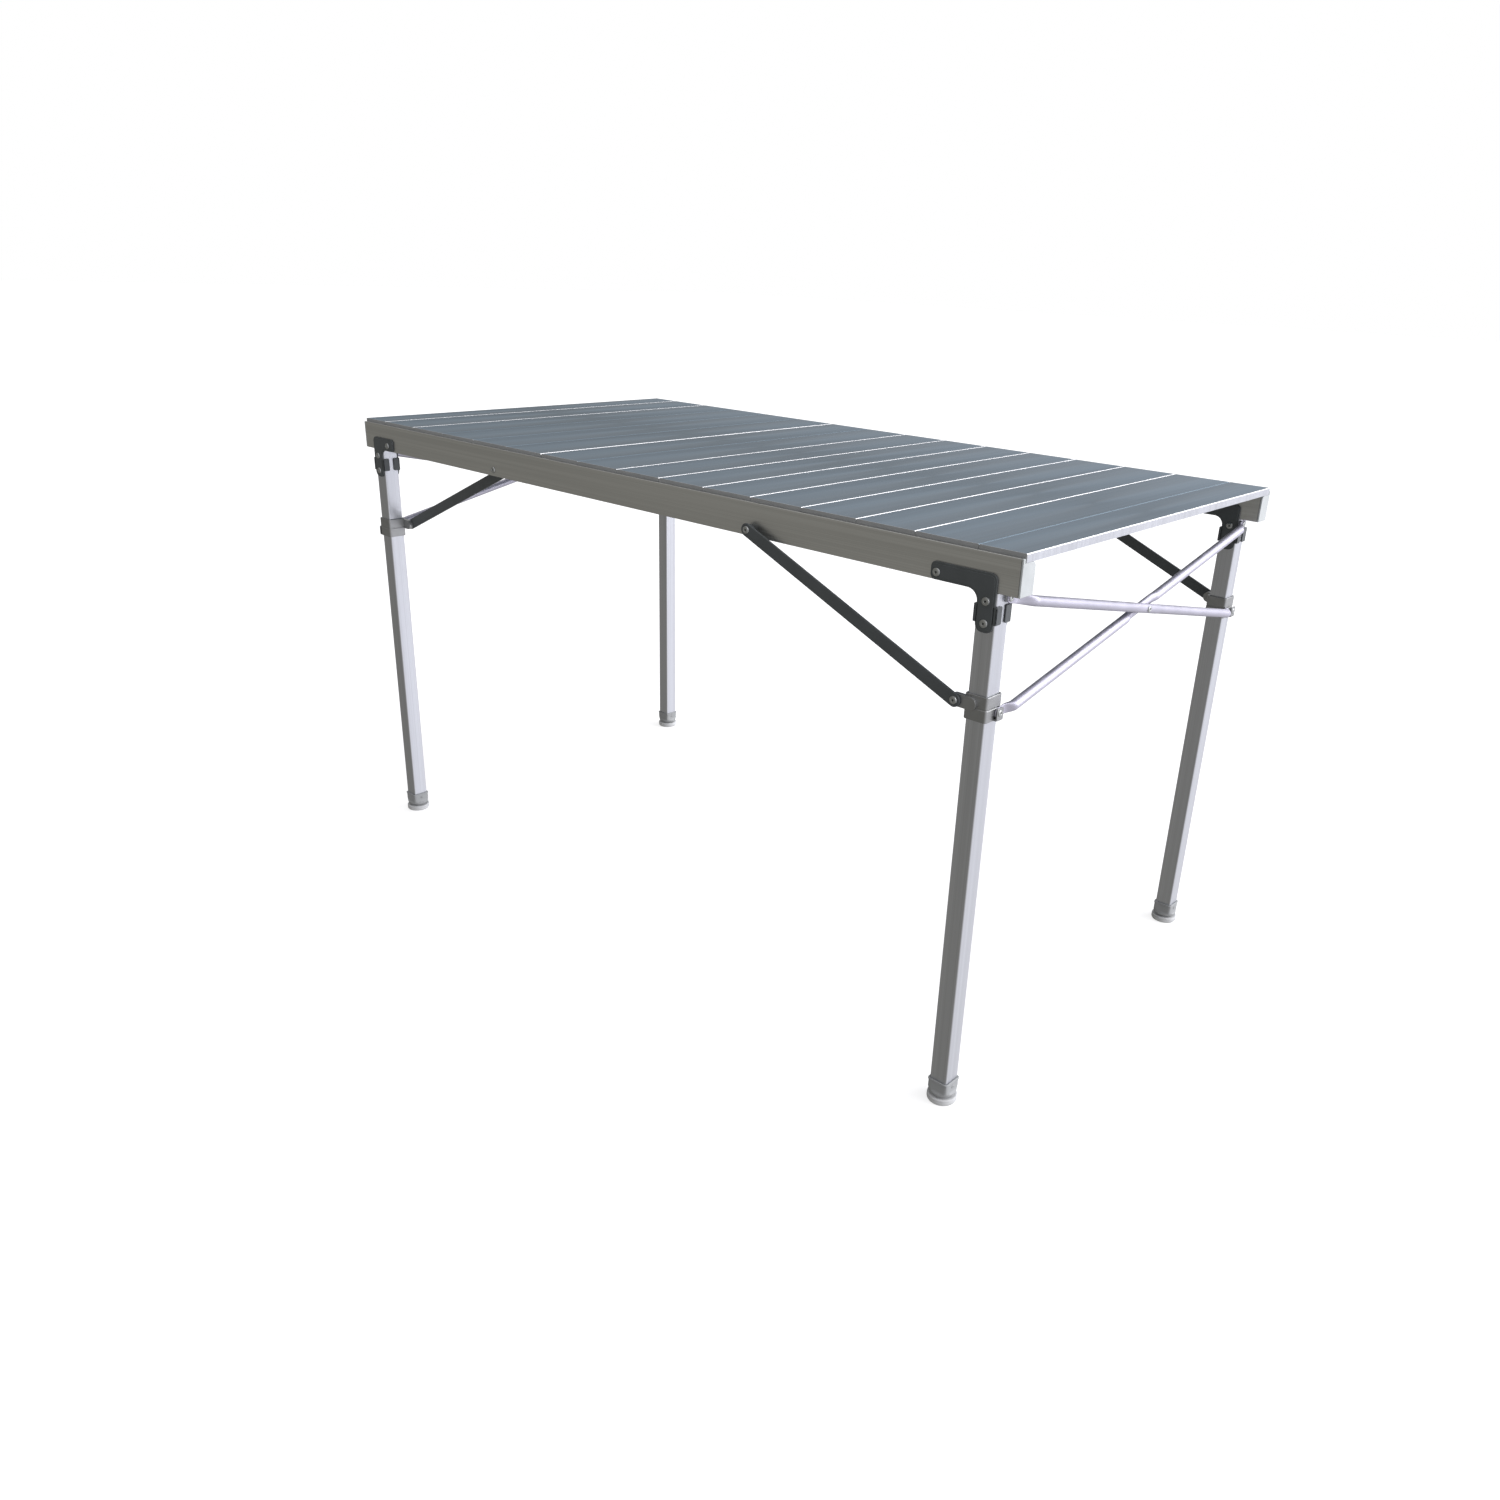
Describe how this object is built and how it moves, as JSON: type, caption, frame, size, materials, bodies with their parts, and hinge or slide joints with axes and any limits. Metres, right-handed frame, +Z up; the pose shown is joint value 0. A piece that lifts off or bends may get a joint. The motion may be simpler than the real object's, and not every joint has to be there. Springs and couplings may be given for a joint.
{
  "type": "folding picnic table",
  "caption": "Folding picnic table with a roll-up aluminium slat top, braced legs that fold under the rails and crossed tubes at both ends.",
  "frame": {"origin": "on the floor under the middle of the table, at the bottom centre of its box", "axes": "+X along the table, +Z up, -Y is the front"},
  "size_m": [1.264, 0.6746, 0.7],
  "materials": {
    "anodised_slat": "blue-grey anodised, satin",
    "satin_aluminium": "satin anodised extrusion",
    "bright_tube": "bright drawn tube",
    "grey_collar": "grey anodised, satin",
    "black_steel": "black powder coat",
    "rivet_steel": "zinc plated",
    "cap_plastic": "light grey moulded",
    "foot_plastic": "grey moulded"
  },
  "bodies": {
    "rail_front": {"rail_front": "satin_aluminium", "rail_cap_front_left": "cap_plastic", "rail_cap_front_right": "cap_plastic"},
    "rail_rear": {"rail_rear": "satin_aluminium", "rail_cap_rear_left": "cap_plastic", "rail_cap_rear_right": "cap_plastic"},
    "leg_front_left": {"leg_front_left": "satin_aluminium", "foot_sleeve_front_left": "foot_plastic", "bracket_outer_front_left": "black_steel", "bracket_inner_front_left": "black_steel", "crank_rivet_front_left": "rivet_steel"},
    "foot_pad_front_left": {"foot_pad_front_left": "foot_plastic"},
    "collar_front_left": {"collar_front_left": "grey_collar"},
    "brace_front_left": {"brace_front_left": "black_steel"},
    "leg_rear_left": {"leg_rear_left": "satin_aluminium", "foot_sleeve_rear_left": "foot_plastic", "bracket_outer_rear_left": "black_steel", "bracket_inner_rear_left": "black_steel", "crank_rivet_rear_left": "rivet_steel"},
    "foot_pad_rear_left": {"foot_pad_rear_left": "foot_plastic"},
    "collar_rear_left": {"collar_rear_left": "grey_collar"},
    "brace_rear_left": {"brace_rear_left": "black_steel"},
    "cross_tube_left_inner": {"cross_tube_left_inner": "bright_tube", "cross_rivet_left": "rivet_steel"},
    "cross_tube_left_outer": {"cross_tube_left_outer": "bright_tube"},
    "leg_front_right": {"leg_front_right": "satin_aluminium", "foot_sleeve_front_right": "foot_plastic", "bracket_outer_front_right": "black_steel", "bracket_inner_front_right": "black_steel", "crank_rivet_front_right": "rivet_steel"},
    "foot_pad_front_right": {"foot_pad_front_right": "foot_plastic"},
    "collar_front_right": {"collar_front_right": "grey_collar"},
    "brace_front_right": {"brace_front_right": "black_steel"},
    "leg_rear_right": {"leg_rear_right": "satin_aluminium", "foot_sleeve_rear_right": "foot_plastic", "bracket_outer_rear_right": "black_steel", "bracket_inner_rear_right": "black_steel", "crank_rivet_rear_right": "rivet_steel"},
    "foot_pad_rear_right": {"foot_pad_rear_right": "foot_plastic"},
    "collar_rear_right": {"collar_rear_right": "grey_collar"},
    "brace_rear_right": {"brace_rear_right": "black_steel"},
    "cross_tube_right_inner": {"cross_tube_right_inner": "bright_tube", "cross_rivet_right": "rivet_steel"},
    "cross_tube_right_outer": {"cross_tube_right_outer": "bright_tube"},
    "slat_01": {"slat_01": "anodised_slat"},
    "slat_02": {"slat_02": "anodised_slat"},
    "slat_03": {"slat_03": "anodised_slat"},
    "slat_04": {"slat_04": "anodised_slat"},
    "slat_05": {"slat_05": "anodised_slat"},
    "slat_06": {"slat_06": "anodised_slat"},
    "slat_07": {"slat_07": "anodised_slat"},
    "slat_08": {"slat_08": "anodised_slat"},
    "slat_09": {"slat_09": "anodised_slat"},
    "slat_10": {"slat_10": "anodised_slat"},
    "slat_11": {"slat_11": "anodised_slat"},
    "slat_12": {"slat_12": "anodised_slat"},
    "slat_13": {"slat_13": "anodised_slat"},
    "slat_14": {"slat_14": "anodised_slat"},
    "slat_15": {"slat_15": "anodised_slat"},
    "slat_16": {"slat_16": "anodised_slat"}
  },
  "joints": [
    {"name": "fold", "type": "hinge", "parent": "rail_front", "child": "leg_front_left", "pos_m": [-0.562, -0.3135, 0.663], "axis": [0, -1, 0], "range_deg": [0, 90]},
    {"name": "left_tube_top_pivot", "type": "hinge", "parent": "leg_front_left", "child": "cross_tube_left_inner", "pos_m": [-0.6061, -0.306, 0.6475], "axis": [-1, 0, 0], "range_deg": [0, 63.75]},
    {"name": "left_tube_crossing", "type": "hinge", "parent": "cross_tube_left_inner", "child": "cross_tube_left_outer", "pos_m": [-0.6061, 0, 0.58325], "axis": [1, 0, 0], "range_deg": [0, 127.5]},
    {"name": "left_rear_leg_pivot", "type": "hinge", "parent": "cross_tube_left_outer", "child": "leg_rear_left", "pos_m": [-0.6061, 0.306, 0.6475], "axis": [-1, 0, 0], "range_deg": [0, 63.75]},
    {"name": "left_front_collar_pivot", "type": "hinge", "parent": "cross_tube_left_outer", "child": "collar_front_left", "pos_m": [-0.6061, -0.306, 0.519], "axis": [-1, 0, 0], "range_deg": [0, 63.75]},
    {"name": "left_rear_collar_pivot", "type": "hinge", "parent": "cross_tube_left_inner", "child": "collar_rear_left", "pos_m": [-0.6061, 0.306, 0.519], "axis": [1, 0, 0], "range_deg": [0, 63.75]},
    {"name": "rear_rail_pivot", "type": "hinge", "parent": "leg_rear_left", "child": "rail_rear", "pos_m": [-0.562, 0.3135, 0.663], "axis": [0, 1, 0], "range_deg": [0, 90]},
    {"name": "brace_pivot_front_left", "type": "hinge", "parent": "rail_front", "child": "brace_front_left", "pos_m": [-0.27496, -0.3135, 0.663], "axis": [0, -1, 0], "range_deg": [0, 154.36]},
    {"name": "brace_pivot_rear_left", "type": "hinge", "parent": "rail_rear", "child": "brace_rear_left", "pos_m": [-0.27496, 0.3135, 0.663], "axis": [0, -1, 0], "range_deg": [0, 154.36]},
    {"name": "right_leg_fold", "type": "hinge", "parent": "rail_front", "child": "leg_front_right", "pos_m": [0.529, -0.3135, 0.663], "axis": [0, 1, 0], "range_deg": [0, 84]},
    {"name": "right_tube_top_pivot", "type": "hinge", "parent": "leg_front_right", "child": "cross_tube_right_outer", "pos_m": [0.6061, -0.306, 0.6475], "axis": [-1, 0, 0], "range_deg": [0, 63.75]},
    {"name": "right_tube_crossing", "type": "hinge", "parent": "cross_tube_right_outer", "child": "cross_tube_right_inner", "pos_m": [0.6061, 0, 0.58325], "axis": [1, 0, 0], "range_deg": [0, 127.5]},
    {"name": "right_rear_leg_pivot", "type": "hinge", "parent": "cross_tube_right_inner", "child": "leg_rear_right", "pos_m": [0.6061, 0.306, 0.6475], "axis": [-1, 0, 0], "range_deg": [0, 63.75]},
    {"name": "right_front_collar_pivot", "type": "hinge", "parent": "cross_tube_right_inner", "child": "collar_front_right", "pos_m": [0.6061, -0.306, 0.519], "axis": [-1, 0, 0], "range_deg": [0, 63.75]},
    {"name": "right_rear_collar_pivot", "type": "hinge", "parent": "cross_tube_right_outer", "child": "collar_rear_right", "pos_m": [0.6061, 0.306, 0.519], "axis": [1, 0, 0], "range_deg": [0, 63.75]},
    {"name": "brace_pivot_front_right", "type": "hinge", "parent": "rail_front", "child": "brace_front_right", "pos_m": [0.2533, -0.3135, 0.663], "axis": [0, 1, 0], "range_deg": [0, 139.52]},
    {"name": "brace_pivot_rear_right", "type": "hinge", "parent": "rail_rear", "child": "brace_rear_right", "pos_m": [0.2533, 0.3135, 0.663], "axis": [0, 1, 0], "range_deg": [0, 139.52]},
    {"name": "top_lift", "type": "slide", "parent": "rail_front", "child": "slat_01", "axis": [0, 0, 1], "range_m": [0, 0.5001]},
    {"name": "roll_01", "type": "hinge", "parent": "slat_01", "child": "slat_02", "pos_m": [-0.574, 0, 0.7], "axis": [0, -1, 0], "range_deg": [0, 45.41]},
    {"name": "roll_02", "type": "hinge", "parent": "slat_02", "child": "slat_03", "pos_m": [-0.492, 0, 0.7], "axis": [0, -1, 0], "range_deg": [0, 46.74]},
    {"name": "roll_03", "type": "hinge", "parent": "slat_03", "child": "slat_04", "pos_m": [-0.41, 0, 0.7], "axis": [0, -1, 0], "range_deg": [0, 48.19]},
    {"name": "roll_04", "type": "hinge", "parent": "slat_04", "child": "slat_05", "pos_m": [-0.328, 0, 0.7], "axis": [0, -1, 0], "range_deg": [0, 49.8]},
    {"name": "roll_05", "type": "hinge", "parent": "slat_05", "child": "slat_06", "pos_m": [-0.246, 0, 0.7], "axis": [0, -1, 0], "range_deg": [0, 51.59]},
    {"name": "roll_06", "type": "hinge", "parent": "slat_06", "child": "slat_07", "pos_m": [-0.164, 0, 0.7], "axis": [0, -1, 0], "range_deg": [0, 53.59]},
    {"name": "roll_07", "type": "hinge", "parent": "slat_07", "child": "slat_08", "pos_m": [-0.082, 0, 0.7], "axis": [0, -1, 0], "range_deg": [0, 55.86]},
    {"name": "roll_08", "type": "hinge", "parent": "slat_08", "child": "slat_09", "pos_m": [0, 0, 0.7], "axis": [0, -1, 0], "range_deg": [0, 58.46]},
    {"name": "roll_09", "type": "hinge", "parent": "slat_09", "child": "slat_10", "pos_m": [0.082, 0, 0.7], "axis": [0, -1, 0], "range_deg": [0, 61.48]},
    {"name": "roll_10", "type": "hinge", "parent": "slat_10", "child": "slat_11", "pos_m": [0.164, 0, 0.7], "axis": [0, -1, 0], "range_deg": [0, 65.07]},
    {"name": "roll_11", "type": "hinge", "parent": "slat_11", "child": "slat_12", "pos_m": [0.246, 0, 0.7], "axis": [0, -1, 0], "range_deg": [0, 69.44]},
    {"name": "roll_12", "type": "hinge", "parent": "slat_12", "child": "slat_13", "pos_m": [0.328, 0, 0.7], "axis": [0, -1, 0], "range_deg": [0, 74.92]},
    {"name": "roll_13", "type": "hinge", "parent": "slat_13", "child": "slat_14", "pos_m": [0.41, 0, 0.7], "axis": [0, -1, 0], "range_deg": [0, 82.17]},
    {"name": "roll_14", "type": "hinge", "parent": "slat_14", "child": "slat_15", "pos_m": [0.492, 0, 0.7], "axis": [0, -1, 0], "range_deg": [0, 92.55]},
    {"name": "roll_15", "type": "hinge", "parent": "slat_15", "child": "slat_16", "pos_m": [0.574, 0, 0.7], "axis": [0, -1, 0], "range_deg": [0, 110.17]},
    {"name": "foot_level_front_left", "type": "slide", "parent": "leg_front_left", "child": "foot_pad_front_left", "axis": [0, 0, -1], "range_m": [0, 0.01]},
    {"name": "foot_level_rear_left", "type": "slide", "parent": "leg_rear_left", "child": "foot_pad_rear_left", "axis": [0, 0, -1], "range_m": [0, 0.01]},
    {"name": "foot_level_front_right", "type": "slide", "parent": "leg_front_right", "child": "foot_pad_front_right", "axis": [0, 0, -1], "range_m": [0, 0.01]},
    {"name": "foot_level_rear_right", "type": "slide", "parent": "leg_rear_right", "child": "foot_pad_rear_right", "axis": [0, 0, -1], "range_m": [0, 0.01]}
  ],
  "couplings": [
    {"joint": "left_tube_top_pivot", "follows": "fold", "ratio": 0.70833},
    {"joint": "left_tube_crossing", "follows": "fold", "ratio": 1.4167},
    {"joint": "left_rear_leg_pivot", "follows": "fold", "ratio": 0.70833},
    {"joint": "left_front_collar_pivot", "follows": "fold", "ratio": 0.70833},
    {"joint": "left_rear_collar_pivot", "follows": "fold", "ratio": 0.70833},
    {"joint": "rear_rail_pivot", "follows": "fold", "ratio": 1},
    {"joint": "brace_pivot_front_left", "follows": "fold", "ratio": 1.7151},
    {"joint": "brace_pivot_rear_left", "follows": "fold", "ratio": 1.7151},
    {"joint": "right_leg_fold", "follows": "fold", "ratio": 0.93333},
    {"joint": "right_tube_top_pivot", "follows": "fold", "ratio": 0.70833},
    {"joint": "right_tube_crossing", "follows": "fold", "ratio": 1.4167},
    {"joint": "right_rear_leg_pivot", "follows": "fold", "ratio": 0.70833},
    {"joint": "right_front_collar_pivot", "follows": "fold", "ratio": 0.70833},
    {"joint": "right_rear_collar_pivot", "follows": "fold", "ratio": 0.70833},
    {"joint": "brace_pivot_front_right", "follows": "fold", "ratio": 1.5502},
    {"joint": "brace_pivot_rear_right", "follows": "fold", "ratio": 1.5502},
    {"joint": "top_lift", "follows": "fold", "m_per_rad": 0.31831}
  ]
}
